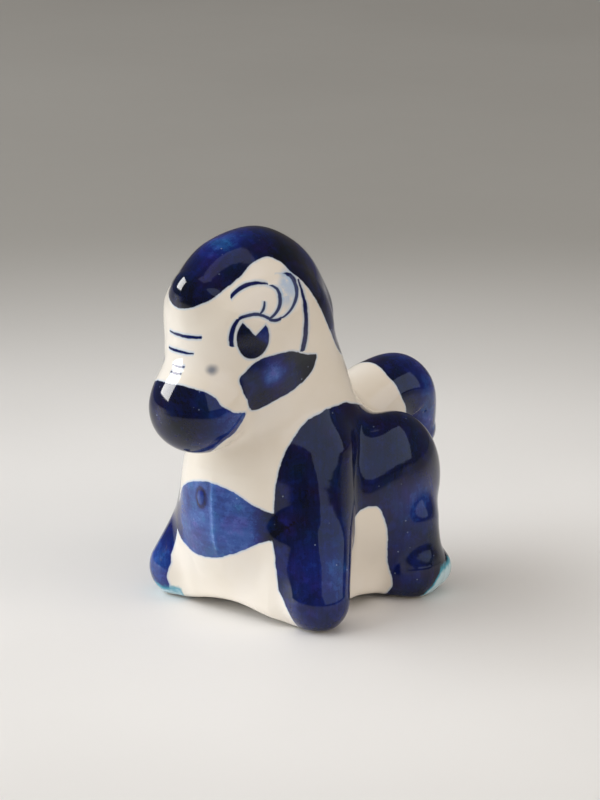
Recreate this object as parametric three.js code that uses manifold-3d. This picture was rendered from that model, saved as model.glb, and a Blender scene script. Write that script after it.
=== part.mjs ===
// Glazed ceramic foal figurine, standing on four stubby feet.
// Millimetres. +Z up, the muzzle points to -Y, and the animal's left side is +X.
// The body is a hollow cast shell in two halves that meet at the median plane. The head and neck
// are a second hollow pair, and the legs, tail, forelock and mane sit in shallow seats in the shells.
import * as THREE from "three";
import { LoftGeometry } from "three/addons/geometries/LoftGeometry.js";
import { mergeVertices } from "three/addons/utils/BufferGeometryUtils.js";
import Module from "manifold-3d";

const wasm = await Module();
wasm.setup();

// ---- driving dimensions -------------------------------------------------------------------
const GAP = 0.3; // clearance between neighbouring members
const WALL = 2.8; // thickness of the cast shells
const SEAT = 1.2; // how deep a member sinks into the shell it sits on
const BASE_Z = 0.4; // underside of the body shell, just clear of the ground
const NECK_Z = 24.5; // the body shell ends here and the neck begins
const MANE_RELIEF = 0.3; // how far the mane stands proud of the head it covers
const NECK_FLATNESS = 0.94; // the neck is this much narrower in X than in Y
const VENT_R = 4.2; // vent hole through the base
const VENT_Y = 2;
const FAR = 80; // larger than the whole figurine

// Horizontal sections of the body: height, half width, front, back, squareness of the outline.
const BODY = [
  [BASE_Z, 9.7, -10.5, 12.9, 5],
  [2, 10.1, -11.0, 13.3, 5],
  [5, 10.3, -11.8, 14.0, 4],
  [7.5, 10.7, -12.9, 16.0, 3],
  [10, 11.1, -13.6, 17.4, 2.5],
  [13, 11.4, -14.0, 18.1, 2.3],
  [16, 11.2, -13.8, 17.8, 2.2],
  [18.5, 10.7, -13.1, 16.6, 2.1],
  [20.5, 10.2, -12.4, 15.0, 2.1],
  [22.5, 9.5, -11.5, 12.5, 2],
  [NECK_Z, 8.9, -10.9, 10.2, 2],
];

// The mane covers the head behind a slanting plane, which the forelock stops at, down to its tip.
const MANE_EDGE = { y: -7, z: 44, lean: 42, tipZ: 31 };

// Tapered members: points along the middle, and the radius at each.
const NECK = { spine: [[0, 0.9, 19], [0, -1.6, 27.5], [0, -3.5, 34]], radii: [10.2, 8.9, 8.3] };
const THROAT = { spine: [[0, -5.6, 29], [0, -5.2, 24.5], [0, -4.8, 20]], radii: [7, 7.8, 8.6] };
const SNOUT = { spine: [[0, -11.0, 37.5], [0, -13, 33.7], [0, -14.8, 30]], radii: [7.9, 6.9, 5.7] };
const CREST = {
  spine: [[0, -16, 41.8], [0, -11.8, 44], [0, -6, 44], [0, -1, 41.3], [0, 2.8, 37.5]],
  radii: [3.6, 4, 4.5, 4.3, 3.2],
};
const TAIL = {
  spine: [[0, 12, 20.5], [0, 17.5, 22.8], [0, 21.9, 22.2], [0, 24, 17.2]],
  radii: [4.8, 4.6, 4.6, 3.4],
};
const FRONT_LEG = { spine: [[7, -2, 18], [8.8, -4.4, 9.5], [11.4, -7.5, 3.4]], radii: [5.2, 4.4, 4] };
const SHANK = { spine: [[9.4, 10.8, 11], [10.2, 10.8, 7.5], [11, 10.6, 4]], radii: [4.8, 4.4, 4] };

// Rounded masses: centre and radii along X, Y and Z.
const SKULL = { centre: [0, -7, 37.9], radii: [8.6, 9.6, 9.4] };
const JOWL = { centre: [0, -10, 31.2], radii: [7.6, 6.4, 6] };
const MUZZLE = { centre: [0, -16.6, 28], radii: [6, 5.8, 5.7] };
const THIGH = { centre: [8.2, 10.2, 14], radii: [5.8, 7.2, 9.3] };
const HIND_FOOT = { centre: [11.3, 11.9, 2.8], radii: [3.9, 5, 3.6] };

// The lower edge of the body rises in a shallow arch between the feet: span and rise.
const FRONT_ARCH = { span: 16, rise: 1.5 };
const SIDE_ARCH = { span: 12, rise: 0.8, middleY: 2 };

// Mesh fineness.
const BODY_SIDES = 32;
const LIMB_SIDES = 16;
const LIMB_RINGS = 7; // rings between the rounded ends of a member
const TIP_ANGLES = [14, 40, 65]; // degrees, the rings that round off an end
const MASS_SIDES = 24;
const MASS_RINGS = 14;

const WHITE = { color: 0xf2ede4, roughness: 0.12, metalness: 0 };
const COBALT = { color: 0x10205c, roughness: 0.1, metalness: 0 };

// ---- solids ---------------------------------------------------------------------------------
function solid(geometry) {
  const bare = new THREE.BufferGeometry().setAttribute("position", geometry.getAttribute("position"));
  const merged = mergeVertices(bare.setIndex(geometry.index), 1e-4);
  const vertProperties = merged.attributes.position.array;
  const triVerts = new Uint32Array(merged.index.array);
  return new wasm.Manifold(new wasm.Mesh({ numProp: 3, vertProperties, triVerts }));
}

function box(x0, x1, y0, y1, z0, z1) {
  const geometry = new THREE.BoxGeometry(x1 - x0, y1 - y0, z1 - z0);
  return solid(geometry.translate((x0 + x1) / 2, (y0 + y1) / 2, (z0 + z1) / 2));
}

// One horizontal outline of the body, a superellipse, moved outwards by grow.
function outline([z, halfWidth, front, back, squareness], grow) {
  const middle = (front + back) / 2;
  const halfDepth = (back - front) / 2 + grow;
  const round = (v) => Math.sign(v) * Math.abs(v) ** (2 / squareness);
  return Array.from({ length: BODY_SIDES }, (_, i) => {
    const a = (2 * Math.PI * (i + 0.5)) / BODY_SIDES;
    const x = (halfWidth + grow) * round(Math.cos(a));
    return new THREE.Vector3(x, middle + halfDepth * round(Math.sin(a)), z);
  });
}

// The body moved outwards by grow, with its floor at floorZ. It runs up past the neck when open.
function body(grow, floorZ, open) {
  const rows = BODY.filter(([z]) => z > floorZ);
  rows.unshift([floorZ, ...BODY[BODY.length - rows.length - 1].slice(1)]);
  if (open) rows.push([NECK_Z + 5, ...BODY[BODY.length - 1].slice(1)]);
  const sections = rows.map((row) => outline(row, grow));
  return solid(new LoftGeometry(sections, { closed: true, capStart: true, capEnd: true }));
}

// Everything behind the mane's edge and above its tip, moved outwards by grow.
function behindManeEdge(grow) {
  const geometry = new THREE.BoxGeometry(FAR, FAR, FAR).translate(0, FAR / 2 - grow, 0);
  geometry.rotateX(THREE.MathUtils.degToRad(MANE_EDGE.lean)).translate(0, MANE_EDGE.y, MANE_EDGE.z);
  return solid(geometry).intersect(box(-FAR, FAR, -FAR, FAR, MANE_EDGE.tipZ - grow, FAR));
}

function ring(centre, tangent, radius, flatness) {
  const side = new THREE.Vector3(1, 0, 0);
  side.addScaledVector(tangent, -side.dot(tangent)).normalize();
  const up = new THREE.Vector3().crossVectors(tangent, side);
  return Array.from({ length: LIMB_SIDES }, (_, i) => {
    const a = (2 * Math.PI * (i + 0.5)) / LIMB_SIDES;
    const point = centre.clone().addScaledVector(side, radius * flatness * Math.cos(a));
    return point.addScaledVector(up, radius * Math.sin(a));
  });
}

// A tapered member with rounded ends, moved outwards by grow. Flatness narrows it in X.
function limb({ spine, radii }, grow = 0, flatness = 1) {
  const curve = new THREE.CatmullRomCurve3(spine.map((p) => new THREE.Vector3(...p)));
  const radiusAt = (t) => {
    const along = t * (radii.length - 1);
    const i = Math.min(Math.floor(along), radii.length - 2);
    return THREE.MathUtils.lerp(radii[i], radii[i + 1], along - i) + grow;
  };
  const tip = (t, degrees, direction) => {
    const a = THREE.MathUtils.degToRad(degrees);
    const tangent = curve.getTangent(t);
    const centre = curve.getPoint(t).addScaledVector(tangent, direction * radiusAt(t) * Math.cos(a));
    return ring(centre, tangent, radiusAt(t) * Math.sin(a), flatness);
  };
  const between = Array.from({ length: LIMB_RINGS }, (_, i) => {
    const t = i / (LIMB_RINGS - 1);
    return ring(curve.getPoint(t), curve.getTangent(t), radiusAt(t), flatness);
  });
  const start = TIP_ANGLES.map((degrees) => tip(0, degrees, -1));
  const end = TIP_ANGLES.map((degrees) => tip(1, degrees, 1)).reverse();
  const sections = [...start, ...between, ...end];
  return solid(new LoftGeometry(sections, { closed: true, capStart: true, capEnd: true }));
}

function mass({ centre, radii }, grow = 0) {
  const geometry = new THREE.SphereGeometry(1, MASS_SIDES, MASS_RINGS);
  geometry.scale(...radii.map((r) => r + grow)).translate(...centre);
  return solid(geometry);
}

// A long round bar whose top is a shallow arch with the given span and rise above BASE_Z.
function archBar({ span, rise }) {
  const radius = (rise * rise + (span / 2) ** 2) / (2 * rise);
  const geometry = new THREE.CylinderGeometry(radius, radius, FAR, 180);
  return geometry.translate(0, 0, BASE_Z + rise - radius);
}

// ---- the members ------------------------------------------------------------------------------
const aboveGround = box(-FAR, FAR, -FAR, FAR, 0, FAR);
const aboveNeckCut = box(-FAR, FAR, -FAR, FAR, NECK_Z + GAP, FAR);
const leftHalf = box(GAP / 2, FAR, -FAR, FAR, -FAR, FAR);
const rightHalf = box(-FAR, -GAP / 2, -FAR, FAR, -FAR, FAR);

// The neck stops level with the top of the body, and the muzzle hangs lower, in front of the chest.
function headAndNeck(grow) {
  const neck = limb(NECK, grow, NECK_FLATNESS).add(limb(THROAT, grow)).intersect(aboveNeckCut);
  const head = mass(SKULL, grow).add(limb(SNOUT, grow)).add(mass(JOWL, grow));
  return neck.add(head).add(mass(MUZZLE, grow));
}

function hindLeg(grow) {
  return mass(THIGH, grow).add(limb(SHANK, grow)).add(mass(HIND_FOOT, grow));
}

// Forelock and mane as one solid: the ridge over the head, and the proud layer behind the edge.
function hair(grow) {
  const ridge = limb(CREST, grow);
  return headAndNeck(MANE_RELIEF + grow).intersect(behindManeEdge(grow)).add(ridge);
}

function bodyShell() {
  const frontArch = solid(archBar(FRONT_ARCH));
  const sideArch = solid(archBar(SIDE_ARCH).rotateZ(Math.PI / 2).translate(0, SIDE_ARCH.middleY, 0));
  const vent = new THREE.CylinderGeometry(VENT_R, VENT_R, FAR, 48).rotateX(Math.PI / 2);
  const cavity = body(-WALL, BASE_Z + WALL + FRONT_ARCH.rise, true);
  return body(0, BASE_Z, false)
    .subtract(cavity)
    .subtract(solid(vent.translate(0, VENT_Y, 0)).intersect(box(-9, 9, -9, 9, -1, 6)))
    .subtract(frontArch)
    .subtract(sideArch);
}

// What a member's seat takes out of the body shell: the member with clearance, to the seat's depth.
function bodySeat(member) {
  return member.subtract(body(-SEAT - GAP, BASE_Z + SEAT + GAP + FRONT_ARCH.rise, true));
}

function onBody(member) {
  const core = body(-SEAT, BASE_Z + SEAT + FRONT_ARCH.rise, true);
  return member.subtract(core).intersect(aboveGround);
}

function build() {
  const mirrored = (s) => s.mirror([1, 0, 0]);
  const frontLeg = onBody(limb(FRONT_LEG));
  const rearLeg = onBody(hindLeg(0)).subtract(limb(FRONT_LEG, GAP));
  const rearLegRoom = hindLeg(GAP);
  const tail = onBody(limb(TAIL))
    .subtract(rearLegRoom)
    .subtract(mirrored(rearLegRoom))
    .subtract(headAndNeck(GAP));

  const legRoom = bodySeat(limb(FRONT_LEG, GAP)).add(bodySeat(rearLegRoom));
  const shell = bodyShell()
    .subtract(legRoom)
    .subtract(mirrored(legRoom))
    .subtract(bodySeat(limb(TAIL, GAP)));

  const headCavity = limb(NECK, -WALL, NECK_FLATNESS).add(mass(SKULL, -WALL));
  const head = headAndNeck(0)
    .subtract(headCavity)
    .subtract(hair(GAP).subtract(headAndNeck(-SEAT - GAP)))
    .subtract(body(GAP, BASE_Z, false));
  const allHair = hair(0).subtract(headAndNeck(-SEAT));

  return {
    body_shell_left: [shell.intersect(leftHalf), WHITE],
    body_shell_right: [shell.intersect(rightHalf), WHITE],
    head_shell_left: [head.intersect(leftHalf), WHITE],
    head_shell_right: [head.intersect(rightHalf), WHITE],
    forelock: [allHair.subtract(behindManeEdge(GAP)), COBALT],
    mane: [allHair.intersect(behindManeEdge(0)), COBALT],
    front_leg_left: [frontLeg, COBALT],
    front_leg_right: [mirrored(frontLeg), COBALT],
    hind_leg_left: [rearLeg, COBALT],
    hind_leg_right: [mirrored(rearLeg), COBALT],
    tail: [tail, COBALT],
  };
}

function meshOf(name, shape, look) {
  const { numProp, vertProperties, triVerts } = shape.getMesh();
  const positions = [];
  for (const v of triVerts) {
    positions.push(...vertProperties.subarray(v * numProp, v * numProp + 3));
  }
  const geometry = new THREE.BufferGeometry();
  geometry.setAttribute("position", new THREE.Float32BufferAttribute(positions, 3));
  geometry.computeVertexNormals();
  const mesh = new THREE.Mesh(geometry, new THREE.MeshStandardMaterial(look));
  mesh.name = name;
  return mesh;
}

const group = new THREE.Group();
for (const [name, [shape, look]] of Object.entries(build())) {
  group.add(meshOf(name, shape, look));
}
const extent = new THREE.Box3().setFromObject(group);
group.position.y = -(extent.min.y + extent.max.y) / 2; // the origin is under the middle of the animal

export default group;
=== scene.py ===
"""A small glazed ceramic foal, warm white with brushed cobalt, on a pale table.

The figurine is one glazed skin. It is modelled as a distance field of blended members, turned
into a mesh, and cut along the joints of the members into separate closed pieces that share their
edges, so the glaze runs over the joints without a seam. The painting is a set of signed distances
stored on the mesh, plus thin strokes that the material draws.

Lengths are in millimetres in the figurine's own coordinates: +Z up, muzzle towards -Y, left side
+X. DATUM_Y moves them to the frame's origin, and MM turns them into metres.
"""

import math

import bpy
import numpy as np
import openvdb
from mathutils import Matrix, Vector


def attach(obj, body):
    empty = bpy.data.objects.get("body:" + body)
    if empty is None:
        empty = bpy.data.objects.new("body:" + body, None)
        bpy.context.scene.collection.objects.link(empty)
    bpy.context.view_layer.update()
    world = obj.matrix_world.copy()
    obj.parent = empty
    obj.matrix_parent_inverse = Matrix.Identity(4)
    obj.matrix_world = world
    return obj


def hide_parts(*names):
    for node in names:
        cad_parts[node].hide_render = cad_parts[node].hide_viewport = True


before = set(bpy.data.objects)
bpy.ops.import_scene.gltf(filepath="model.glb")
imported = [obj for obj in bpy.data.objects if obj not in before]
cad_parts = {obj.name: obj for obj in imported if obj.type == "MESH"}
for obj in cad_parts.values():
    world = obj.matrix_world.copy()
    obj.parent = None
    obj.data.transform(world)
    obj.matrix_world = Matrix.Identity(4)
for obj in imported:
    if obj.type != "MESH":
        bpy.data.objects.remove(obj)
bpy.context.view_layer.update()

MM = 0.001
DATUM_Y = -2.46325
VOXEL = 0.28
LIMB_STEPS = 3  # straight steps between two points along a limb, before its smooth path is used
BLOCK = 4  # voxels along a side of a block that is tested before its voxels are

# ---- the shape ----------------------------------------------------------------------------------
NECK_Z = 24.5  # the head and the body meet here
VENT_R = 4.2
VENT_Y = 2.0
LOW_CORNER = (-17.0, -25.0, -1.5)
HIGH_CORNER = (17.0, 30.0, 50.5)

# Rounded masses: centre and radii.
TORSO = ((0, 3.5, 13.5), (11.4, 14.8, 11.3))
BREAST = ((-0.8, -4.5, 13.9), (9.9, 9.4, 12.3))  # pressed a little towards the figurine's right
THIGH = ((8.5, 8.8, 14.3), (4.6, 9.5, 9.4))
SKULL = ((0, -7, 37.9), (8.6, 9.6, 9.4))
BROW = ((0, -12, 39), (6, 6.3, 5))
JOWL = ((0, -10, 31.2), (7.6, 6.4, 6))
MUZZLE = ((0, -16.6, 28), (6, 5.8, 5.7))
CAST_HOLLOW = ((0, 1.5, 10.5), (6, 7, 5.5))
# Tapered round bars: start, end, the radius at each, and for two of them the squeeze in X.
NECK = ((0, -3.5, 34), (0, 0.3, 21), 8.3, 9.6, 0.94)
SNOUT = ((0, -11, 37.8), (0, -14.8, 30.4), 7.9, 5.7, 0.96)
THROAT = ((0, -5.6, 29), (0, -4.8, 20), 7, 8.6)
SHANK = ((9.6, 11, 9), (11, 11, 3.7), 4.6, 4.0)
HEEL = ((11, 11.3, 3.5), (12, 14.3, 3), 3.5, 2.2)
APRON = ((0, 1.2, 6.5), (10.2, 12.2, 8), 4)  # centre, half sizes, corner radius
# Members along a smooth path: points and the radius at each.
CREST = ((0, -16, 41.9), (0, -11.8, 44), (0, -6, 44), (0, -1, 41.3), (0, 3.6, 37), (0, 6.4, 32))
CREST_RADII = (3.5, 4.0, 4.5, 4.3, 3.2, 1.6)
FRONT_LEG = ((6.4, -2.8, 20.5), (8.4, -4.5, 11), (11.4, -7.5, 3.6))
FRONT_LEG_RADII = (5.0, 4.6, 4.0)
TAIL = ((0, 11, 20.5), (0, 17.2, 22.9), (0, 21.9, 22.3), (0, 24, 17.2))
TAIL_RADII = (5.0, 4.6, 4.6, 3.4)
CHEST_FRONT = -8  # y of the back end of the mould seam and the blister
BLISTER = (-1.9, 15.6)  # (x, z) on the chest
BLISTER_HALF = (0.6, 0.85)


def ellipsoid(p, centre, radii):
    q = p - np.array(centre, p.dtype)
    r = np.array(radii, p.dtype)
    scaled = np.linalg.norm(q / r, axis=1)
    slope = np.linalg.norm(q / (r * r), axis=1)
    return scaled * (scaled - 1) / np.maximum(slope, 1e-6)


def cone(p, start, end, start_radius, end_radius, flat=1.0):
    """A round bar with a radius at each end, squeezed in X by flat."""
    squeeze = np.array((1 / flat, 1, 1), p.dtype)
    a = np.array(start, p.dtype) * squeeze
    d = np.array(end, p.dtype) * squeeze - a
    q = p * squeeze - a
    t = np.clip(q @ d / (d @ d), 0, 1)
    return np.linalg.norm(q - t[:, None] * d, axis=1) - (start_radius + (end_radius - start_radius) * t)


def cubics(points):
    """Catmull-Rom coefficients, one cubic between each two points: spans, powers, values."""
    p = np.array(points, float)
    p = np.vstack([2 * p[0] - p[1], p, 2 * p[-1] - p[-2]])
    a, b, c, d = p[:-3], p[1:-2], p[2:-1], p[3:]
    return 0.5 * np.stack([2 * b, c - a, 2 * a - 5 * b + 4 * c - d, 3 * b - a - 3 * c + d], 1)


def smooth_path(points, steps):
    """Points along the smooth path, with steps segments in each span."""
    powers = (np.arange(steps) / steps)[:, None] ** np.arange(4)
    path = np.einsum("tk,skv->stv", powers, cubics(points)).reshape(-1, len(points[0]))
    return np.vstack([path, points[-1]])


def limb(p, points, radii):
    """A tapered member with rounded ends along a smooth path."""
    shaped = [(*point, radius) for point, radius in zip(points, radii)]
    path = smooth_path(shaped, LIMB_STEPS)
    best = np.full(len(p), np.inf, p.dtype)
    along = np.zeros(len(p), p.dtype)
    for k, (a, b) in enumerate(zip(path, path[1:])):
        d = b[:3] - a[:3]
        t = np.clip((p - a[:3]) @ d / (d @ d), 0, 1)
        near = np.linalg.norm(p - a[:3] - t[:, None] * d, axis=1) - a[3] - t * (b[3] - a[3])
        along = np.where(near < best, (k + t) / LIMB_STEPS, along)
        best = np.minimum(best, near)
    table = cubics(shaped).astype(p.dtype)
    for final in (False, False, False, True):
        span = np.minimum(along.astype(int), len(table) - 1)
        t = (along - span)[:, None]
        c0, c1, c2, c3 = np.moveaxis(table[span], 1, 0)
        here = c0 + t * (c1 + t * (c2 + t * c3))
        if final:
            return np.linalg.norm(p - here[:, :3], axis=1) - here[:, 3]
        slope = (c1 + t * (2 * c2 + 3 * t * c3))[:, :3]
        bend = (2 * c2 + 6 * t * c3)[:, :3]
        off = p - here[:, :3]
        speed = (slope * slope).sum(1)
        step = (off * slope).sum(1) / np.maximum(speed - (off * bend).sum(1), 0.3 * speed)
        along = np.clip(along + step, 0, len(table))


def rounded_box(p, centre, half, radius):
    q = np.abs(p - np.array(centre, p.dtype)) - np.array(half, p.dtype) + radius
    return np.linalg.norm(np.maximum(q, 0), axis=1) + np.minimum(q.max(1), 0) - radius


def blend_min(a, b, k):
    h = np.maximum(k - np.abs(a - b), 0) / k
    return np.minimum(a, b) - h * h * k / 4


def blend_max(a, b, k):
    return -blend_min(-a, -b, k)


def mirrored(p):
    m = p.copy()
    m[:, 0] = np.abs(m[:, 0])
    return m


def crest(p):
    return limb(p, CREST, CREST_RADII)


def front_leg(p):
    return limb(mirrored(p), FRONT_LEG, FRONT_LEG_RADII)


def thigh(p):
    return ellipsoid(mirrored(p), *THIGH)


def hind_foot(p):
    m = mirrored(p)
    return blend_min(cone(m, *SHANK), cone(m, *HEEL), 2)


def tail(p):
    return limb(p, TAIL, TAIL_RADII)


def muzzle(p):
    return ellipsoid(p, *MUZZLE)


def trunk(p):
    return blend_min(ellipsoid(p, *TORSO), ellipsoid(p, *BREAST), 4)


def apron(p):
    """The skirt of clay between the legs, with its shallow arches."""
    x, y, z = p.T
    block = rounded_box(p, *APRON)
    edge = 0.3 + 1.6 * np.exp(-((x / 6) ** 2)) + 0.9 * np.exp(-(((y - 2) / 5) ** 2))
    return blend_max(block, edge - z, 0.8)


def head(p, joined):
    """The head and neck, blended into the distances in joined."""
    d = blend_min(joined, cone(p, *NECK), 4)
    d = blend_min(d, ellipsoid(p, *SKULL), 3)
    d = blend_min(d, cone(p, *SNOUT), 3)
    d = blend_min(d, ellipsoid(p, *BROW), 2)
    d = blend_min(d, cone(p, *THROAT), 3)
    d = blend_min(d, ellipsoid(p, *JOWL), 3)
    return blend_min(d, muzzle(p), 1.8)


def hollow(p):
    """The vent hole in the base and the space above it."""
    x, y, z = p.T
    hole = np.maximum(np.hypot(x, y - VENT_Y) - VENT_R, z - 9)
    return blend_min(hole, ellipsoid(p, *CAST_HOLLOW), 0.8)


def mould_seam(p):
    """The faint raised line that the mould leaves down the middle of the chest."""
    x, y, z = p.T
    along = 1 / (1 + np.exp(-(z - 8.5) / 0.6)) / (1 + np.exp((z - 17.5) / 0.6))
    return 0.13 * np.exp(-((x / 0.32) ** 2)) * along * (y < CHEST_FRONT)


def blister(p):
    """A small raised bubble in the glaze of the chest."""
    x, y, z = p.T
    across = (x - BLISTER[0]) / BLISTER_HALF[0]
    up = (z - BLISTER[1]) / BLISTER_HALF[1]
    return 0.2 * np.exp(-(across * across) - up * up) * (y < CHEST_FRONT)


def lumps(p):
    """The slight unevenness of a piece pressed and fettled by hand."""
    x, y, z = p.T
    return 0.05 * (np.sin(0.61 * x + 0.35 * z + 1) * np.sin(0.52 * y - 0.2 * x)
                   + np.sin(0.43 * z - 0.57 * y + 2) * np.sin(0.48 * x + 0.9))


def figurine(p):
    d = head(p, trunk(p))
    d = blend_min(d, crest(p), 1.6)
    d = blend_min(d, front_leg(p), 2.2)
    d = blend_min(d, thigh(p), 1.8)
    d = blend_min(d, hind_foot(p), 2)
    d = blend_min(d, tail(p), 1)
    d = blend_min(d, apron(p), 2)
    d = blend_max(d - mould_seam(p) - blister(p) - lumps(p), -p[:, 2], 0.6)
    return blend_max(d, -hollow(p), 0.8)


# ---- the mesh -----------------------------------------------------------------------------------
def distance_grid():
    """Distances on a grid, exact near the surface and coarse elsewhere."""
    low = np.array(LOW_CORNER)
    size = BLOCK * VOXEL
    blocks = np.ceil((np.array(HIGH_CORNER) - low) / size).astype(int)
    index = np.stack(np.meshgrid(*(np.arange(n) for n in blocks), indexing="ij"), -1).reshape(-1, 3)
    coarse = figurine((low + (index + 0.5 - 0.5 / BLOCK) * size).astype(np.float32))
    values = np.repeat(coarse.reshape(blocks), BLOCK, 0).repeat(BLOCK, 1).repeat(BLOCK, 2)
    near = index[np.abs(coarse) < 1.4 * size]
    step = np.arange(BLOCK)
    inside = np.stack(np.meshgrid(step, step, step, indexing="ij"), -1).reshape(-1, 3)
    cells = (near[:, None, :] * BLOCK + inside).reshape(-1, 3)
    values[tuple(cells.T)] = figurine((low + cells * VOXEL).astype(np.float32))
    return low, np.ascontiguousarray(values, np.float32)


def gradient(field, p, step=0.06):
    corners = np.array(((1, -1, -1), (-1, -1, 1), (-1, 1, -1), (1, 1, 1)), float)
    return sum(field(p + step * c)[:, None] * c for c in corners) / (4 * step)


def skin():
    """Vertices and triangles of the whole outer skin."""
    low, values = distance_grid()
    grid = openvdb.FloatGrid(3 * VOXEL)
    grid.copyFromArray(values)
    points, quads = grid.convertToQuads(0.0)
    points = low + points.astype(float) * VOXEL
    quads = quads.astype(int)
    a, b, c = (points[quads[:, k]] for k in (0, 1, 2))
    facing = np.einsum("ij,ij->i", np.cross(b - a, c - b), gradient(figurine, (a + c) / 2))
    if np.median(np.sign(facing)) < 0:
        quads = quads[:, ::-1]
    return points, np.vstack([quads[:, [0, 1, 2]], quads[:, [0, 2, 3]]])


def onto_surface(points, rounds=2):
    for _ in range(rounds):
        g = gradient(figurine, points)
        points = points - figurine(points)[:, None] * g / np.maximum((g * g).sum(1), 0.2)[:, None]
    g = gradient(figurine, points)
    return points, g / np.linalg.norm(g, axis=1, keepdims=True)


# ---- the members, as fields that are negative on the member's own part of the skin -----------------
MANE_EDGE = (-7.0, 44.0)  # a point (y, z) on the slanting front edge of the mane
MANE_SLOPE = (0.743, 0.669)  # the edge's normal in (y, z), towards the mane
MANE_TIP_Z = 31.0


def behind_mane_edge(p):
    return (p[:, 1] - MANE_EDGE[0]) * MANE_SLOPE[0] + (p[:, 2] - MANE_EDGE[1]) * MANE_SLOPE[1]


def member_fields(p):
    far = np.full(len(p), 99.0, p.dtype)
    no_head = trunk(p)
    whole_head = head(p, far)
    on_head = np.minimum(NECK_Z - p[:, 2], muzzle(p) - no_head)
    mane = np.maximum(-behind_mane_edge(p), MANE_TIP_Z - p[:, 2])
    forelock = np.maximum(np.maximum(crest(p) - whole_head, p[:, 1] + 5), 36 - p[:, 2])
    legs = np.minimum(thigh(p), hind_foot(p))
    body = np.minimum(blend_min(no_head, apron(p), 2), whole_head)
    return {
        "mane": mane,
        "forelock": forelock,
        "head": on_head,
        "tail": np.maximum(tail(p) - np.minimum(body, legs), 10 - p[:, 1]),
        "front_leg": front_leg(p) - np.minimum(body, legs),
        "hind_leg": legs - body,
    }


def cut(points, triangles, fields, signs, name):
    """Cut every triangle that the field's zero line crosses, and record each side's sign."""
    g = fields[name]
    positive = g > 0
    side = positive[triangles]
    count = side.sum(1)
    mixed = (count == 1) | (count == 2)
    tri = triangles[mixed]
    lone = np.where(count[mixed] == 1, side[mixed].argmax(1), (~side[mixed]).argmax(1))
    rows = np.arange(len(tri))
    a, b, c = (tri[rows, (lone + k) % 3] for k in range(3))
    ends = np.sort(np.vstack([np.stack([a, b], 1), np.stack([a, c], 1)]), axis=1)
    edges, which = np.unique(ends, axis=0, return_inverse=True)
    t = g[edges[:, 0]] / (g[edges[:, 0]] - g[edges[:, 1]])
    t = np.clip(t, 0.1, 0.9)[:, None]
    fresh = points[edges[:, 0]] * (1 - t) + points[edges[:, 1]] * t
    for key, values in fields.items():
        mid = values[edges[:, 0]] * (1 - t[:, 0]) + values[edges[:, 1]] * t[:, 0]
        fields[key] = np.concatenate([values, mid])
    ab = len(points) + which[: len(tri)]
    ac = len(points) + which[len(tri):]
    lone_side = positive[a]
    new = np.vstack([np.stack(f, 1) for f in ((a, ab, ac), (ab, b, c), (ab, c, ac))])
    new_sign = np.concatenate([lone_side, ~lone_side, ~lone_side])
    for key, values in signs.items():
        signs[key] = np.concatenate([values[~mixed], np.tile(values[mixed], 3)])
    signs[name] = np.concatenate([count[~mixed] == 3, new_sign])
    return np.vstack([points, fresh]), np.vstack([triangles[~mixed], new])


MEMBERS = {  # piece: the CAD nodes that it stands for
    "mane": ["mane"],
    "forelock": ["forelock"],
    "head": ["head_shell_left", "head_shell_right"],
    "tail": ["tail"],
    "front_leg_left": ["front_leg_left"],
    "front_leg_right": ["front_leg_right"],
    "hind_leg_left": ["hind_leg_left"],
    "hind_leg_right": ["hind_leg_right"],
    "body": ["body_shell_left", "body_shell_right"],
}


def labelled(points, triangles, signs):
    """The piece that each triangle belongs to, the first member whose field is negative there."""
    label = np.full(len(triangles), "body", dtype="U16")
    left = points[triangles][:, :, 0].mean(1) > 0
    taken = np.zeros(len(triangles), bool)
    for name, positive in signs.items():
        mine = ~positive & ~taken
        taken |= mine
        if name.endswith("leg"):
            label[mine & left] = name + "_left"
            label[mine & ~left] = name + "_right"
        else:
            label[mine] = name
    return label


def boundary_loops(triangles):
    """Closed chains of the edges that only one triangle uses, in the triangles' own direction."""
    directed = np.vstack([triangles[:, [0, 1]], triangles[:, [1, 2]], triangles[:, [2, 0]]])
    owner = np.tile(np.arange(len(triangles)), 3)
    pairs = {}
    for (a, b), face in zip(directed.tolist(), owner.tolist()):
        pairs[a, b] = face
    following = {}
    for (a, b), face in pairs.items():
        if (b, a) not in pairs:
            following.setdefault(a, []).append((b, face))
    loops = []
    while following:
        start = next(iter(following))
        loop, faces, here = [], [], start
        while True:
            ends = following[here]
            there, face = ends.pop()
            if not ends:
                del following[here]
            loop.append(here)
            faces.append(face)
            here = there
            if here == start:
                break
        loops.append((np.array(loop), np.array(faces)))
    return loops


def closed(name, points, normals, triangles):
    """Close a member's part of the skin inside, where it joins its neighbours."""
    extra = []
    caps = []
    for loop, faces in boundary_loops(triangles):
        centre = points[loop].mean(0)
        into = points[triangles[faces]].mean(1) - points[loop]
        into /= np.linalg.norm(into, axis=1, keepdims=True)
        # The cap of a piece that carries a member is sunk below the member's own cap.
        socket = name == "body" or (name == "head" and centre[2] > NECK_Z + 4)
        if socket:
            centre = centre + 1.2 * (into.mean(0) - normals[loop].mean(0))
        tip = len(points) + len(extra)
        extra.append(centre)
        caps.append(np.stack([np.roll(loop, -1), loop, np.full(len(loop), tip)], 1))
    print("piece", name, len(triangles), "triangles,", [len(c) for c in caps], "edge loops")
    used, compact = np.unique(np.vstack([triangles, *caps]), return_inverse=True)
    compact = compact.reshape(-1, 3)
    return np.vstack([points, *extra])[used], used, compact, len(triangles)


# ---- the painting, as signed distances that are positive on the paint --------------------------------
U_X = 0.755  # u = U_X |x| + U_Y y is the width across the three-quarter side view
U_Y = 0.656
SIDE_VIEW = np.array((0.656, -0.755, 0))  # towards that view, on the animal's left side

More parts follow.
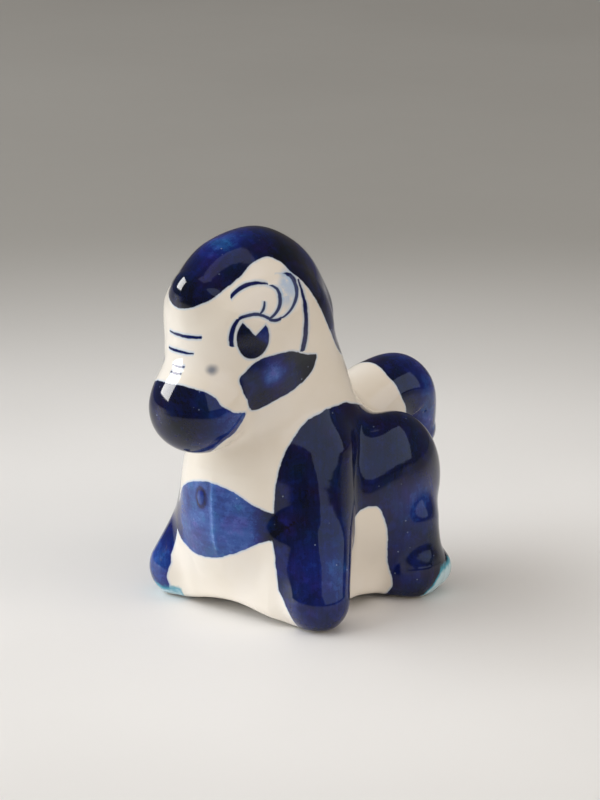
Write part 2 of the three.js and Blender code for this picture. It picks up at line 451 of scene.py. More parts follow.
# Edge of the forelock and mane in the side view (y, z), from the brow to the tip on the neck.
HAIR_EDGE = ((-26, 40.0), (-23, 40.0), (-21, 40.1), (-19.6, 40.5), (-18.7, 41.3), (-17.3, 42.2),
             (-15.6, 43.3), (-13.8, 44.3), (-11.6, 45.5), (-9.4, 46.0), (-7.7, 45.2), (-7.0, 44.0),
             (-5.9, 42.9), (-4.4, 41.0), (-2.9, 38.8), (-1.6, 36.6), (0.4, 34.1), (2.6, 32.2),
             (5.5, 31.2), (9, 31.0))
# Edge of the muzzle's colour (y, z), from the nose to the mouth corner and under the chin.
MUZZLE_EDGE = ((-22.6, 32.2), (-21.1, 31.7), (-20, 31.2), (-19.4, 30.8), (-18.9, 30.3), (-18.3, 29.3),
               (-16.8, 28.3), (-14.5, 27.6), (-15.7, 25.5), (-17, 24.7), (-17.4, 23.6), (-16.2, 21))
# Patch on the cheek (u, z).
CHEEK = ((-5.8, 31.9), (-5.0, 33.1), (-3.0, 34.5), (0.4, 34.8), (2.2, 33.9), (3.5, 33.5), (3.4, 32.5),
         (2.8, 31.3), (1.0, 29.9), (-1.5, 28.8), (-4.1, 27.8), (-4.9, 29.7))
# Leaf across the chest (x, z), waisted where it runs into the legs.
CHEST = ((-12, 11.8), (-9.4, 12.6), (-7.6, 14.6), (-6.4, 15.9), (-4.5, 16.9), (-2.7, 17.5), (0, 17.8),
         (3.1, 17), (5.5, 15.4), (7.2, 14.5), (10, 14.2), (10, 11.2), (7.6, 11.3), (5.6, 10.6),
         (2.9, 9.2), (-0.8, 7.8), (-4.9, 7.4), (-7.9, 8.4), (-9.6, 9.6), (-12, 9.8))
# Front edge of the leg colour, u at each height.
LEG_FRONT_Z = (0, 0.5, 2.2, 5, 11.4, 17.5, 19.8, 22.1, 24.9, 25.9, 26.4)
LEG_FRONT_U = (1.6, 1.3, 0.3, -1.1, -1.8, -1.5, -1.1, -0.3, 1.6, 2.8, 4.6)
# Top edge of the leg colour, z at each y.
LEG_TOP_Y = (-8, -5, -2.7, 1.3, 7, 12, 16, 20)
LEG_TOP_Z = (25.2, 25.9, 26.4, 26.4, 24.6, 24, 23, 22)
SPINE_WHITE = 6.2  # half width of the white band along the spine, behind the neck
# White arch on the apron between front and hind leg (y, z).
SIDE_ARCH = ((-4.6, -2), (-4.4, 4), (-4, 8.4), (-2.7, 11.8), (0, 13.3), (1.8, 13.6), (3.3, 13),
             (5.1, 9.4), (6.3, 5.4), (6.9, 2.4), (7.1, 0.9), (7.1, -2))
# Front edge of the tail's colour (y, z), from its top to its underside.
TAIL_EDGE = ((18, 32), (16.4, 28), (15.9, 26.4), (16.2, 25.1), (17, 23.1), (18.6, 20.6),
             (19.4, 17.5), (19.4, 10))


def to_polyline(q, path, close):
    """Distance from each 2-D point to the path."""
    path = np.array(path, float)
    ends = np.roll(path, -1, 0) if close else path[1:]
    best = np.full(len(q), np.inf)
    for a, b in zip(path, ends):
        d = b - a
        t = np.clip((q - a) @ d / (d @ d), 0, 1)
        best = np.minimum(best, np.linalg.norm(q - a - t[:, None] * d, axis=1))
    return best


def in_polygon(q, path):
    """Signed distance, positive inside the closed path."""
    path = np.array(path, float)
    inside = np.zeros(len(q), bool)
    for a, b in zip(path, np.roll(path, -1, 0)):
        across = (a[1] > q[:, 1]) != (b[1] > q[:, 1])
        rise = b[1] - a[1] if b[1] != a[1] else 1.0
        inside ^= across & (q[:, 0] < a[0] + (q[:, 1] - a[1]) * (b[0] - a[0]) / rise)
    return np.where(inside, 1, -1) * to_polyline(q, path, True)


def curved(path):
    return smooth_path(path, 5)


def curved_closed(path):
    return smooth_path((*path[-2:], *path, *path[:2]), 5)[10:-11]


def side_u(p):
    return U_X * np.abs(p[:, 0]) + U_Y * p[:, 1]


def facing_side(n):
    view = np.where(n[:, :1] < 0, SIDE_VIEW * (-1, 1, 1), SIDE_VIEW)
    return (n * view).sum(1)


def hair_paint(p, n):
    edge = curved(HAIR_EDGE)
    loop = np.vstack([edge, ((60, 31), (60, 90), (-60, 90), (-60, 40))])
    return in_polygon(p[:, 1:], loop)


def muzzle_paint(p, n):
    edge = curved(MUZZLE_EDGE)
    loop = np.vstack([edge, ((-16.2, 10), (-60, 10), (-60, 33))])
    return in_polygon(p[:, 1:], loop)


def cheek_paint(p, n):
    chart = np.stack([side_u(p), p[:, 2]], 1)
    return np.minimum(in_polygon(chart, curved_closed(CHEEK)), 6 * facing_side(n) - 0.5)


def chest_paint(p, n):
    leaf = in_polygon(p[:, [0, 2]], curved_closed(CHEST))
    return np.minimum.reduce([leaf, -6 * n[:, 1] - 0.6, -p[:, 1]])


def leg_paint(p, n):
    x, y, z = p.T
    u = side_u(p)
    far_side = 1.7 * (x < 0) * np.clip((z - 2) / 4, 0, 1)
    front = np.maximum(u - np.interp(z, LEG_FRONT_Z, LEG_FRONT_U) - far_side, 3 * (y - 2))
    top = np.interp(y, LEG_TOP_Y, LEG_TOP_Z) - z
    back = np.abs(x) - np.interp(y, (2, 6), (0, SPINE_WHITE))
    inner = 3 * (np.abs(x) - 6) + 8 * np.maximum(n[:, 2], 0) + 30 * (z > 5)
    arch = np.minimum(in_polygon(p[:, 1:], curved(SIDE_ARCH)), member_gap(p) + 0.6)
    return np.minimum.reduce([front, top, back, inner, -arch])


def member_gap(p):
    """Positive on the trunk and apron, negative on the front legs."""
    return front_leg(p) - np.minimum(trunk(p), apron(p))


def tail_paint(p, n):
    loop = np.vstack([curved(TAIL_EDGE), ((60, 10), (60, 60))])
    return in_polygon(p[:, 1:], loop)


def surface_distance(paint, p, n):
    """A chart's distances turned into distances along the surface."""
    here = paint(p, n)
    step = 0.15
    first = np.cross(n, np.where(np.abs(n[:, 2:]) < 0.8, (0, 0, 1), (1, 0, 0)))
    first /= np.linalg.norm(first, axis=1, keepdims=True)
    second = np.cross(n, first)
    slope = np.hypot(*((paint(p + step * t, n) - here) / step for t in (first, second)))
    return here / np.clip(slope, 0.25, 4)


def painting(p, n):
    """Per vertex: the paint's signed distance, its tone from dark to light, and its brush flow."""
    patches = {
        "hair": surface_distance(hair_paint, p, n),
        "muzzle": surface_distance(muzzle_paint, p, n),
        "cheek": surface_distance(cheek_paint, p, n),
        "chest": surface_distance(chest_paint, p, n),
        "leg": surface_distance(leg_paint, p, n),
        "tail": surface_distance(tail_paint, p, n),
    }
    x, y, z = p.T
    u = side_u(p)
    ramp = lambda value, low, high: np.clip((value - low) / (high - low), 0, 1)
    blister_edge = np.hypot((x - BLISTER[0]) / BLISTER_HALF[0], (z - BLISTER[1]) / BLISTER_HALF[1])
    # a darker ring in the chest's colour around the blister
    blister_ring = 0.45 * np.exp(-(((blister_edge - 1.4) / 0.3) ** 2))
    seam = 0.25 * np.exp(-((x / 0.3) ** 2)) * (z > 9)
    ridge = np.exp(-(((y + 12) / 5) ** 2) - ((x - 0.5) / 2.8) ** 2)
    cheek_middle = np.exp(-(((u + 1.5) / 1.5) ** 2) - ((z - 32.3) / 1.5) ** 2)
    far_foot = (x < 0) * ramp(-z, -10, -5)
    near_heel = ramp(y, 8, 12) * ramp(-z, -10, -7)
    # painted reflection: a lighter blue patch low on the thigh
    thigh_reflection = np.exp(-(((u - 16.5) / 2.2) ** 2) - ((z - 13.2) / 2.4) ** 2)
    # painted reflection: a lighter blue patch on the front leg's shin, where the wall's reflection runs
    # down it
    shin_reflection = np.exp(-(((u - 5.9) / 2) ** 2) - ((z - 7) / 3) ** 2)
    tones = {
        "hair": 0.08 + 0.46 * ridge + 0.3 * ramp(y, -3, 1),
        "muzzle": 0.12 + 0.44 * ramp(y, -21, -17) - 0.1 * ramp(-z, -25, -23),
        "cheek": 0.16 + 0.62 * cheek_middle - 0.35 * ramp(u, 1, 2.8),
        "chest": 0.62 - 0.6 * ramp(np.abs(x + 1), 6, 8.5) + seam - blister_ring,
        # the legs' tone includes painted reflections on the thigh and the shin
        "leg": (0.16 + 0.12 * ramp(-z, -16, -9) + 0.25 * far_foot - 0.25 * near_heel
                + 0.35 * thigh_reflection + 0.25 * shin_reflection),
        "tail": 0.16 + 0.32 * ramp(y, 18, 22),
    }
    flows = {  # along and across the brush strokes
        "hair": (y - z, x),
        "muzzle": (y + 0.5 * z, x + z),
        "cheek": (u + 0.4 * z, z - 0.4 * u),
        "chest": (x, z),
        "leg": (z, y + x),
        "tail": (z - y, x),
    }
    names = list(patches)
    stack = np.stack([patches[k] for k in names])
    chosen = stack.argmax(0)
    pick = lambda table: np.choose(chosen, [table[k] for k in names])
    heel = np.minimum(1.8 + 1.7 * (y - 10.8), 3.8 + 0.2 * (y - 12)) - z
    toe = np.minimum(1.6 - z, -5 - x)
    on_foot = 2 * (np.abs(x) - 8.5)
    return {
        "paint": stack.max(0),
        "tone": pick(tones),
        "flow_along": pick({k: v[0] for k, v in flows.items()}),
        "flow_across": pick({k: v[1] for k, v in flows.items()}),
        "thin": np.minimum(on_foot, np.where(y > 9, heel, np.where(y < -5, toe, -3))),
        "foot_pad": 0.25 - z - 3 * (n[:, 2] > -0.5),
    }


# ---- materials ----------------------------------------------------------------------------------
class Tree:
    """Short calls for building a node tree."""

    def __init__(self, tree):
        self.tree = tree

    def node(self, kind, **settings):
        made = self.tree.nodes.new(kind)
        for key, value in settings.items():
            setattr(made, key, value)
        return made

    def feed(self, socket, value):
        if isinstance(value, bpy.types.NodeSocket):
            self.tree.links.new(value, socket)
        else:
            socket.default_value = value

    def math(self, operation, *values, clamp=False):
        made = self.node("ShaderNodeMath", operation=operation, use_clamp=clamp)
        for socket, value in zip(made.inputs, values):
            self.feed(socket, value)
        return made.outputs[0]

    def vector(self, operation, *values):
        made = self.node("ShaderNodeVectorMath", operation=operation)
        for socket, value in zip(made.inputs, values):
            self.feed(socket, value)
        return made.outputs["Value" if operation in ("LENGTH", "DOT_PRODUCT", "DISTANCE") else "Vector"]

    def combine(self, x, y, z):
        made = self.node("ShaderNodeCombineXYZ")
        for socket, value in zip(made.inputs, (x, y, z)):
            self.feed(socket, value)
        return made.outputs[0]

    def ramp(self, value, low, high, to_low=0.0, to_high=1.0, smooth=True):
        made = self.node("ShaderNodeMapRange", interpolation_type="SMOOTHSTEP" if smooth else "LINEAR")
        for name, v in (("Value", value), ("From Min", low), ("From Max", high),
                        ("To Min", to_low), ("To Max", to_high)):
            self.feed(made.inputs[name], v)
        return made.outputs[0]

    def mix(self, factor, a, b, blend="MIX"):
        made = self.node("ShaderNodeMix", data_type="RGBA", blend_type=blend)
        self.feed(made.inputs[0], factor)
        self.feed(made.inputs[6], a)
        self.feed(made.inputs[7], b)
        return made.outputs[2]

    def noise(self, at, scale, detail=2.0, roughness=0.5):
        made = self.node("ShaderNodeTexNoise")
        for name, v in (("Vector", at), ("Scale", scale), ("Detail", detail), ("Roughness", roughness)):
            self.feed(made.inputs[name], v)
        return made.outputs[0]

    def attribute(self, name):
        return self.node("ShaderNodeAttribute", attribute_name=name).outputs["Fac"]

    def colours(self, value, stops):
        made = self.node("ShaderNodeValToRGB")
        elements = made.color_ramp.elements
        for k, (place, colour) in enumerate(stops):
            element = elements[k] if k < 2 else elements.new(place)
            element.position = place
            element.color = (*colour, 1)
        self.feed(made.inputs[0], value)
        return made.outputs[0]


def arc_through(start, middle, end):
    """Centre and radius of the circle through three points."""
    (ax, ay), (bx, by), (cx, cy) = start, middle, end
    d = 2 * (ax * (by - cy) + bx * (cy - ay) + cx * (ay - by))
    if abs(d) < 1e-3:
        normal = np.array((ay - cy, cx - ax)) / math.hypot(cx - ax, cy - ay)
        return tuple(np.array(middle) + 500 * normal), 500.0
    a2, b2, c2 = ax * ax + ay * ay, bx * bx + by * by, cx * cx + cy * cy
    x = (a2 * (by - cy) + b2 * (cy - ay) + c2 * (ay - by)) / d
    y = (a2 * (cx - bx) + b2 * (ax - cx) + c2 * (bx - ax)) / d
    return (x, y), math.hypot(ax - x, ay - y)


def stroke_group():
    """A brush stroke along an arc: how far a chart point is inside it, in millimetres."""
    group = bpy.data.node_groups.new("brush_stroke", "ShaderNodeTree")
    vectors = ("Chart", "Centre", "Outward", "Along")
    numbers = ("Radius", "Half length", "Width", "Lean", "Taper")
    for name in vectors:
        group.interface.new_socket(name, in_out="INPUT", socket_type="NodeSocketVector")
    for name in numbers:
        group.interface.new_socket(name, in_out="INPUT", socket_type="NodeSocketFloat")
    group.interface.new_socket("Inside", in_out="OUTPUT", socket_type="NodeSocketFloat")
    t = Tree(group)
    given = t.node("NodeGroupInput").outputs
    from_centre = t.vector("SUBTRACT", given["Chart"], given["Centre"])
    off = t.math("SUBTRACT", t.vector("LENGTH", from_centre), given["Radius"])
    along = t.math("DIVIDE", t.vector("DOT_PRODUCT", from_centre, given["Along"]), given["Half length"])
    lean = t.math("MULTIPLY_ADD", given["Lean"], along, 1.0)
    taper = t.math("MULTIPLY", given["Taper"], t.math("POWER", t.math("ABSOLUTE", along), 2.0))
    half = t.math("MULTIPLY", t.math("SUBTRACT", lean, taper), t.math("MULTIPLY", given["Width"], 0.5))
    past = t.math("MAXIMUM", t.math("SUBTRACT", t.math("ABSOLUTE", along), 1.0), 0.0)
    past = t.math("MULTIPLY", past, t.math("MULTIPLY", given["Half length"], 3.0))
    inside = t.math("SUBTRACT", t.math("SUBTRACT", half, t.math("ABSOLUTE", off)), past)
    inside = t.math("MINIMUM", inside, t.vector("DOT_PRODUCT", from_centre, given["Outward"]))
    t.feed(t.node("NodeGroupOutput").inputs[0], inside)
    return group


# Strokes of the face, start, middle and end in the side view (u, z), then the width at the middle,
# how much wider the end is than the start, and how much the ends thin out.
FACE_STROKES = {
    "lid_front": ((-6.6, 36.3), (-6.55, 38.2), (-5.8, 39.6), 0.58, -0.1, 0.2),
    "lid_top": ((-5.8, 39.6), (-4.0, 40.05), (-2.0, 39.3), 0.42, -0.1, 0.1),
    "brow": ((-6.7, 42.2), (-4.6, 43.4), (-2.3, 43.2), 0.48, -0.3, 0.4),
    "lash_front": ((-1.9, 43.1), (-0.85, 41.5), (-2.0, 39.4), 0.46, 0.1, 0.4),
    "lash_back": ((0.0, 44.0), (1.1, 41.4), (-0.7, 39.2), 0.44, -0.2, 0.25),
    "lash_foot": ((-0.7, 39.2), (-1.4, 39.1), (-2.1, 39.3), 0.42, 0.0, 0.1),
    "lash_small": ((-2.7, 41.4), (-2.75, 40.7), (-3.3, 40.0), 0.36, 0.0, 0.5),
    "ear": ((1.3, 43.1), (2.25, 39.0), (1.8, 34.4), 0.5, 0.4, 0.2),
}
# The lines across the nose, in the front view (x, z).
NOSE_STROKES = {
    "first": ((-2.6, 37.35), (0, 37.2), (2.6, 37.3), 0.42, 0.2, 0.4),
    "second": ((-2.6, 35.35), (0, 35.25), (1.8, 35.3), 0.36, -0.1, 0.4),
    "third": ((-1.0, 33.65), (0, 33.6), (1.0, 33.65), 0.3, 0.0, 0.4),
    "fourth": ((-0.9, 32.9), (0, 32.85), (0.9, 32.9), 0.3, 0.0, 0.4),
}
PUPIL = ((-4.1, 37.15), (1.95, 2.55))
WEDGE = ((-5.5, 39.4), (-3.75, 37.45), (-1.95, 39.3))  # the white notch in the pupil
PUPIL_REFLECTION_LINE = ((-3.75, 37.45), (-2.6, 36.3))  # painted reflection: the pupil is drawn greyer above and right of this line
WASH = ((0.0, 42.6), (0.9, 1.9))  # thin colour that ran between the ear and the lashes
NOSTRIL = ((-9.0, 33.5), (0.5, 0.42))


def strokes(t, group, chart, table):
    """The deepest of the strokes at each chart point."""
    best = None
    for start, middle, end, width, lean, taper in table.values():
        centre, radius = arc_through(start, middle, end)
        chord = np.array(end) - np.array(start)
        length = float(np.linalg.norm(chord))
        made = t.node("ShaderNodeGroup", node_tree=group)
        outward = (np.array(middle) - centre) / radius
        t.feed(made.inputs["Chart"], chart)
        made.inputs["Centre"].default_value = (*centre, 0)
        made.inputs["Outward"].default_value = (*outward, 0)
        made.inputs["Along"].default_value = (*(chord / length), 0)
        made.inputs["Radius"].default_value = radius
        made.inputs["Half length"].default_value = length / 2
        made.inputs["Width"].default_value = width
        made.inputs["Lean"].default_value = lean
        made.inputs["Taper"].default_value = taper
        best = made.outputs[0] if best is None else t.math("MAXIMUM", best, made.outputs[0])
    return best


def oval(t, chart, centre, radii):
    """About how far a chart point is inside an oval."""
    from_centre = t.vector("SUBTRACT", chart, (*centre, 0))
    scaled = t.vector("DIVIDE", from_centre, (*radii, 1))
    return t.math("MULTIPLY", t.math("SUBTRACT", 1.0, t.vector("LENGTH", scaled)), min(radii))


def half_plane(t, chart, a, b):
    """How far a chart point is to the left of the line from a to b."""
    d = np.array(b) - np.array(a)
    normal = np.array((-d[1], d[0])) / np.linalg.norm(d)
    return t.vector("DOT_PRODUCT", t.vector("SUBTRACT", chart, (*a, 0)), (*normal, 0))


# The cobalt's colour, from 0 where it is thick to 1 where it is thin. The two ends come first.
INK = (
    (0.0, (0.003, 0.004, 0.012)),
    (1.0, (0.18, 0.31, 0.66)),
    (0.2, (0.004, 0.008, 0.055)),
    (0.4, (0.006, 0.015, 0.135)),
    (0.58, (0.016, 0.055, 0.26)),
    (0.78, (0.05, 0.13, 0.42)),
)
VIOLET_SHIFT = (2.2, 0.85, 1.0, 1)
TEAL_SHIFT = (0.5, 1.5, 0.95, 1)
PINHOLE = (0.30, 0.38, 0.55, 1)
CLAY_DEEP = (0.80, 0.74, 0.65, 1)
CLAY_PALE = (0.83, 0.78, 0.71, 1)
BLEED = (0.30, 0.50, 0.78, 1)
WASH_BLUE = (0.22, 0.42, 0.72, 1)
NOSTRIL_GREY = (0.14, 0.17, 0.24, 1)
CYAN_DEEP = (0.03, 0.33, 0.47, 1)
CYAN_PALE = (0.55, 0.72, 0.78, 1)
BARE_CLAY = (0.72, 0.66, 0.57, 1)
GLAZE_IOR = 1.42


def painted_glaze():
    """Warm white clay under a clear glaze, with brushed cobalt between them."""
    material = bpy.data.materials.new("painted_glaze")
    material.use_nodes = True
    t = Tree(material.node_tree)
    shader = material.node_tree.nodes["Principled BSDF"]
    at = t.node("ShaderNodeTexCoord").outputs["Object"]
    mm = t.vector("MULTIPLY", at, (1000, 1000, 1000))
    mm = t.vector("SUBTRACT", mm, (0, DATUM_Y, 0))
    wobble = t.noise(mm, 0.9, 2)
    fine = t.noise(mm, 3.2, 3)
    axes = t.node("ShaderNodeSeparateXYZ")
    t.feed(axes.inputs[0], mm)
    x, y, z = axes.outputs
    u = t.math("MULTIPLY_ADD", t.math("ABSOLUTE", x), U_X, t.math("MULTIPLY", y, U_Y))
    shake = t.math("MULTIPLY_ADD", wobble, 0.24, -0.12)
    side = t.combine(t.math("ADD", u, shake), t.math("ADD", z, shake), 0.0)
    front = t.combine(x, t.math("ADD", z, shake), 0.0)

    group = stroke_group()
    line = strokes(t, group, side, FACE_STROKES)
    nose = strokes(t, group, front, NOSE_STROKES)
    nose = t.math("SUBTRACT", nose, t.math("MAXIMUM", t.math("ADD", y, 10.0), 0.0))
    line = t.math("MAXIMUM", line, nose)
    pupil = oval(t, side, *PUPIL)
    wedge_left = half_plane(t, side, WEDGE[0], WEDGE[1])
    wedge_right = half_plane(t, side, WEDGE[1], WEDGE[2])
    wedge = t.math("MINIMUM", wedge_left, wedge_right)
    pupil = t.math("MINIMUM", pupil, t.math("SUBTRACT", 0.0, wedge))
    on_face = t.math("LESS_THAN", y, -2.0)
    pupil = t.math("MULTIPLY_ADD", on_face, 9.0, t.math("SUBTRACT", pupil, 9.0))
    drawn = t.math("MAXIMUM", line, pupil)

    paint = t.math("MULTIPLY_ADD", wobble, 0.3, t.math("SUBTRACT", t.attribute("paint"), 0.15))
    paint = t.math("MULTIPLY_ADD", fine, 0.1, t.math("SUBTRACT", paint, 0.05))
    all_paint = t.math("MAXIMUM", paint, drawn)
    covered = t.ramp(all_paint, -0.05, 0.07)
    halo = t.ramp(all_paint, -0.34, 0.02, 0.0, 0.5)

    flow = t.combine(t.math("MULTIPLY", t.attribute("flow_along"), 0.16),
                     t.math("MULTIPLY", t.attribute("flow_across"), 1.7), 0.0)
    streaks = t.noise(flow, 1.0, 4, 0.6)
    patchy = t.noise(mm, 0.28, 3, 0.6)
    pools = t.noise(mm, 0.75, 5, 0.72)
    tone = t.attribute("tone")
    for variation, amount in ((streaks, 0.24), (patchy, 0.45), (pools, 0.5)):
        tone = t.math("MULTIPLY_ADD", variation, amount, t.math("SUBTRACT", tone, amount / 2))
    tide = t.ramp(t.math("ABSOLUTE", t.math("SUBTRACT", pools, 0.5)), 0.0, 0.03, 0.09, 0.0)
    tone = t.math("SUBTRACT", tone, tide)
    is_drawn = t.math("GREATER_THAN", drawn, paint)
    # painted reflection: the pupil's colour is made greyer above and right of the line, a sheen of the
    # glaze drawn in
    pupil_reflection = t.ramp(half_plane(t, side, *PUPIL_REFLECTION_LINE), -0.3, 0.3)
    pupil_reflection = t.math("MULTIPLY", pupil_reflection, t.ramp(pupil, -0.1, 0.2))
    drawn_tone = t.math("MULTIPLY_ADD", fine, 0.3, t.math("MULTIPLY_ADD", pupil_reflection, 0.36, -0.1))
    drawn_tone = t.math("MULTIPLY_ADD", t.math("GREATER_THAN", line, pupil), 0.2, drawn_tone)
    tone = t.ramp(is_drawn, 0.0, 1.0, tone, drawn_tone, smooth=False)
    ink = t.colours(tone, INK)
    hue = t.noise(mm, 0.33, 3)
    violet = t.ramp(hue, 0.5, 0.68, 0.0, 0.75)
    teal = t.ramp(hue, 0.32, 0.48, 0.6, 0.0)
    ink = t.mix(violet, ink, t.mix(1.0, ink, VIOLET_SHIFT, "MULTIPLY"))
    ink = t.mix(teal, ink, t.mix(1.0, ink, TEAL_SHIFT, "MULTIPLY"))

    cells = t.node("ShaderNodeTexVoronoi")
    t.feed(cells.inputs["Vector"], mm)
    cells.inputs["Scale"].default_value = 0.8
    pinhole = t.ramp(cells.outputs["Distance"], 0.05, 0.11, 0.5, 0.0)
    ink = t.mix(t.math("MULTIPLY", pinhole, t.ramp(patchy, 0.5, 0.6)), ink, PINHOLE)

    clay = t.mix(t.ramp(t.noise(mm, 0.12, 3), 0.35, 0.7), CLAY_DEEP, CLAY_PALE)
    clay = t.mix(halo, clay, BLEED)
    wash = t.math("MULTIPLY", t.ramp(oval(t, side, *WASH), -0.5, 0.4, 0.0, 0.6), t.ramp(pools, 0.3, 0.55))
    clay = t.mix(wash, clay, WASH_BLUE)
    nostril = t.ramp(oval(t, side, *NOSTRIL), -0.5, 0.35, 0.0, 0.85)
    clay = t.mix(nostril, clay, NOSTRIL_GREY)
    colour = t.mix(covered, clay, ink)
    thin = t.math("MULTIPLY_ADD", wobble, 1.4, t.math("SUBTRACT", t.attribute("thin"), 0.7))
    colour = t.mix(t.ramp(thin, -0.5, 0.3, 0.0, 0.9), colour, CYAN_DEEP)
    colour = t.mix(t.ramp(thin, 0.1, 1.0, 0.0, 0.9), colour, CYAN_PALE)
    bare = t.ramp(t.attribute("foot_pad"), -0.1, 0.15)
    colour = t.mix(bare, colour, BARE_CLAY)
    t.feed(shader.inputs["Base Color"], colour)
    gloss = t.math("MULTIPLY_ADD", fine, 0.03, 0.055)
    t.feed(shader.inputs["Roughness"], t.ramp(bare, 0.0, 1.0, gloss, 0.7))
    shader.inputs["IOR"].default_value = GLAZE_IOR
    ripple = t.node("ShaderNodeBump")
    ripple.inputs["Strength"].default_value = 0.35
    ripple.inputs["Distance"].default_value = 0.00003
    t.feed(ripple.inputs["Height"], t.noise(mm, 0.7, 2))
    t.feed(shader.inputs["Normal"], ripple.outputs[0])
    return material


# ---- building the pieces --------------------------------------------------------------------------
def add_piece(name, points, used, triangles, outer, facts, normals, material):
    mesh = bpy.data.meshes.new(name)
    place = (points + (0, DATUM_Y, 0)) * MM
    mesh.from_pydata(place.tolist(), [], triangles.tolist())
    mesh.polygons.foreach_set("use_smooth", np.arange(len(triangles)) < outer)
    real = used < len(normals)
    for key, values in facts.items():
        data = np.full(len(points), values.min(), np.float32)
        data[real] = values[used[real]]
        mesh.attributes.new(key, "FLOAT", "POINT").data.foreach_set("value", data)
    smooth = np.zeros((len(points), 3))
    smooth[real] = normals[used[real]]
    corners = smooth[triangles]
    a, b, c = (points[triangles[outer:, k]] for k in range(3))
    flat = np.cross(b - a, c - a)
    flat /= np.maximum(np.linalg.norm(flat, axis=1, keepdims=True), 1e-9)
    corners[outer:] = flat[:, None, :]
    mesh.normals_split_custom_set(corners.reshape(-1, 3).tolist())
    mesh.materials.append(material)
    piece = bpy.data.objects.new(name + "_glazed", mesh)
    bpy.context.scene.collection.objects.link(piece)
    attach(piece, "root")
    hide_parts(*MEMBERS[name])
    return piece


def build_figurine():
    points, triangles = skin()
    fields = member_fields(points)
    signs = {}
    for name in list(fields):
        points, triangles = cut(points, triangles, fields, signs, name)
    points, normals = onto_surface(points)
    label = labelled(points, triangles, signs)
    facts = painting(points, normals)
    material = painted_glaze()
    for name in MEMBERS:
        own = triangles[label == name]
        piece_points, used, piece_triangles, outer = closed(name, points, normals, own)
        add_piece(name, piece_points, used, piece_triangles, outer, facts, normals, material)


# ---- floor, lights and camera ---------------------------------------------------------------------
VIEW_AZIMUTH = math.radians(41)
VIEW_ELEVATION = math.radians(14.5)
VIEW_DISTANCE = 0.45
LOOK_AT = (0, 1, 22.5)  # this point lies LOOK_RIGHT left of the image's middle and LOOK_UP below it
LOOK_RIGHT = 0.875
LOOK_UP = 2.75
FOCAL = 108
SENSOR = 24

WORLD_LIGHT = (0.12, 0.11, 0.10, 1)
WORLD_SEEN = (0.30, 0.285, 0.27, 1)
TABLE_HALF = 3.0
TABLE_FADE = (0.045, 0.235)  # from near white to grey between these radii
TABLE_WHITES = ((0.79, 0.785, 0.78, 1), (0.85, 0.845, 0.84, 1))
TABLE_GREY = (0.33, 0.32, 0.30, 1)
TABLE_SHADE = (0.05, 0.05, 0.055, 1)
TABLE_MIDDLE = -0.05  # the lit part of the table is centred this far towards the camera
TABLE_NEAR_EDGE = (0.145, 0.185)  # in the half nearer the camera it darkens between these radii


def camera_axes():
    sin_a, cos_a = math.sin(VIEW_AZIMUTH), math.cos(VIEW_AZIMUTH)
    sin_e, cos_e = math.sin(VIEW_ELEVATION), math.cos(VIEW_ELEVATION)
    back = Vector((sin_a * cos_e, -cos_a * cos_e, sin_e))
    right = Vector((cos_a, sin_a, 0))
    return right, back.cross(right), back


def add_camera():
    right, up, back = camera_axes()
    data = bpy.data.cameras.new("camera")
    data.sensor_fit = "VERTICAL"
    data.sensor_height = SENSOR
    data.lens = FOCAL
    data.clip_start = 0.01
    data.clip_end = 20
    camera = bpy.data.objects.new("camera", data)
    aim = (Vector(LOOK_AT) + Vector((0, DATUM_Y, 0)) + right * LOOK_RIGHT + up * LOOK_UP) * MM
    turn = Matrix((right, up, back)).transposed().to_4x4()
    camera.matrix_world = Matrix.Translation(aim + back * VIEW_DISTANCE) @ turn
    bpy.context.scene.collection.objects.link(camera)
    bpy.context.scene.camera = camera


# Softboxes that face the figurine. Azimuth is measured from the camera's, to its right. The last
# value is True for a panel that is seen only in the glaze, and False for one that only lights.
PANELS = {  # azimuth, elevation, distance, width, height, power, colour, mirrored only
    "window_in_the_glaze": (-94, 28, 0.75, 0.40, 0.42, 8.6, (1, 0.99, 0.97), True),
    "window": (-88, 28, 0.8, 1.2, 0.9, 9.0, (0.97, 0.99, 1), False),
    "wall_in_the_glaze": (62, 24, 0.9, 1.5, 0.72, 4.2, (0.62, 0.73, 1), True),
    "lamp_in_the_glaze": (50, 70, 0.9, 0.7, 0.36, 0.7, (0.72, 0.72, 0.95), True),
    "wall": (45, 25, 0.9, 1.4, 0.9, 4.6, (1, 0.89, 0.76), False),
    "ceiling": (0, 90, 1.5, 2.0, 2.0, 11.5, (1, 0.965, 0.92), False),
}


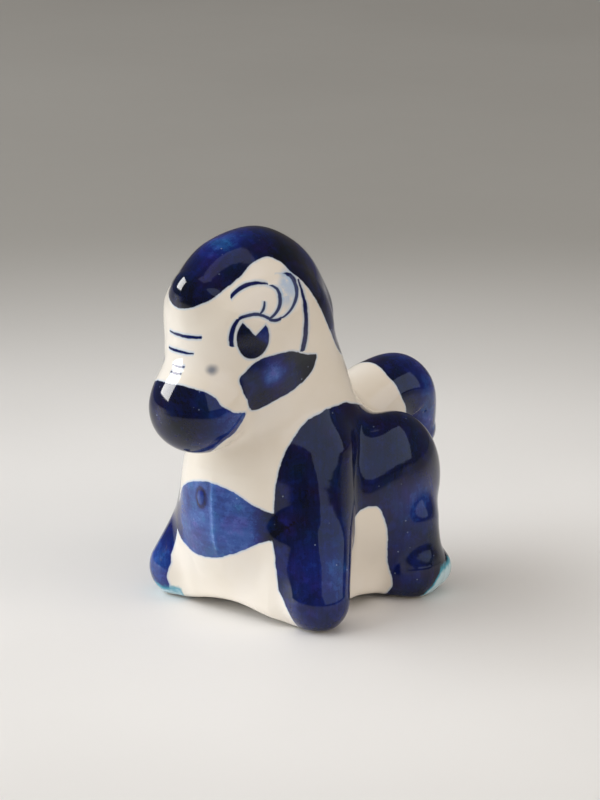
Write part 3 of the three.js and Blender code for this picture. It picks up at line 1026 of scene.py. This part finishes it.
def add_panel(name, azimuth, elevation, distance, width, height, power, colour, mirrored_only):
    data = bpy.data.lights.new(name, "AREA")
    data.shape = "RECTANGLE"
    data.size = width
    data.size_y = height
    data.energy = power
    data.color = colour
    a = VIEW_AZIMUTH + math.radians(azimuth)
    e = math.radians(elevation)
    back = Vector((math.sin(a) * math.cos(e), -math.cos(a) * math.cos(e), math.sin(e)))
    right = Vector((math.cos(a), math.sin(a), 0))
    turn = Matrix((right, back.cross(right), back)).transposed().to_4x4()
    panel = bpy.data.objects.new(name, data)
    panel.matrix_world = Matrix.Translation(Vector((0, 0, 0.025)) + back * distance) @ turn
    panel.visible_diffuse = not mirrored_only
    panel.visible_glossy = mirrored_only
    bpy.context.scene.collection.objects.link(panel)


def add_lights():
    for name, values in PANELS.items():
        add_panel(name, *values)
    world = bpy.data.worlds.new("studio")
    world.use_nodes = True
    t = Tree(world.node_tree)
    background = world.node_tree.nodes["Background"]
    seen = t.node("ShaderNodeLightPath").outputs["Is Camera Ray"]
    t.feed(background.inputs["Color"], t.mix(seen, WORLD_LIGHT, WORLD_SEEN))
    bpy.context.scene.world = world
    bpy.context.scene.view_settings.view_transform = "Standard"


def add_floor():
    mesh = bpy.data.meshes.new("table")
    corners = [(TABLE_HALF * x, TABLE_HALF * y, 0) for x, y in ((-1, -1), (1, -1), (1, 1), (-1, 1))]
    mesh.from_pydata(corners, [], [(0, 1, 2, 3)])
    table = bpy.data.objects.new("table", mesh)
    bpy.context.scene.collection.objects.link(table)
    material = bpy.data.materials.new("pale_table")
    material.use_nodes = True
    t = Tree(material.node_tree)
    shader = material.node_tree.nodes["Principled BSDF"]
    at = t.node("ShaderNodeTexCoord").outputs["Object"]
    grain = t.noise(at, 14, 4)
    pale = t.mix(grain, *TABLE_WHITES)
    colour = t.mix(t.ramp(t.vector("LENGTH", at), *TABLE_FADE), pale, TABLE_GREY)
    near = Vector((math.sin(VIEW_AZIMUTH), -math.cos(VIEW_AZIMUTH), 0))
    radius = t.vector("LENGTH", t.vector("SUBTRACT", at, near * TABLE_MIDDLE))
    in_front = t.ramp(t.vector("DOT_PRODUCT", at, near), 0.0, 0.05)
    towards_camera = t.math("MULTIPLY", in_front, t.ramp(radius, *TABLE_NEAR_EDGE))
    t.feed(shader.inputs["Base Color"], t.mix(towards_camera, colour, TABLE_SHADE))
    t.feed(shader.inputs["Roughness"], t.ramp(grain, 0.3, 0.7, 0.5, 0.6))
    mesh.materials.append(material)


add_camera()
add_lights()
add_floor()
build_figurine()
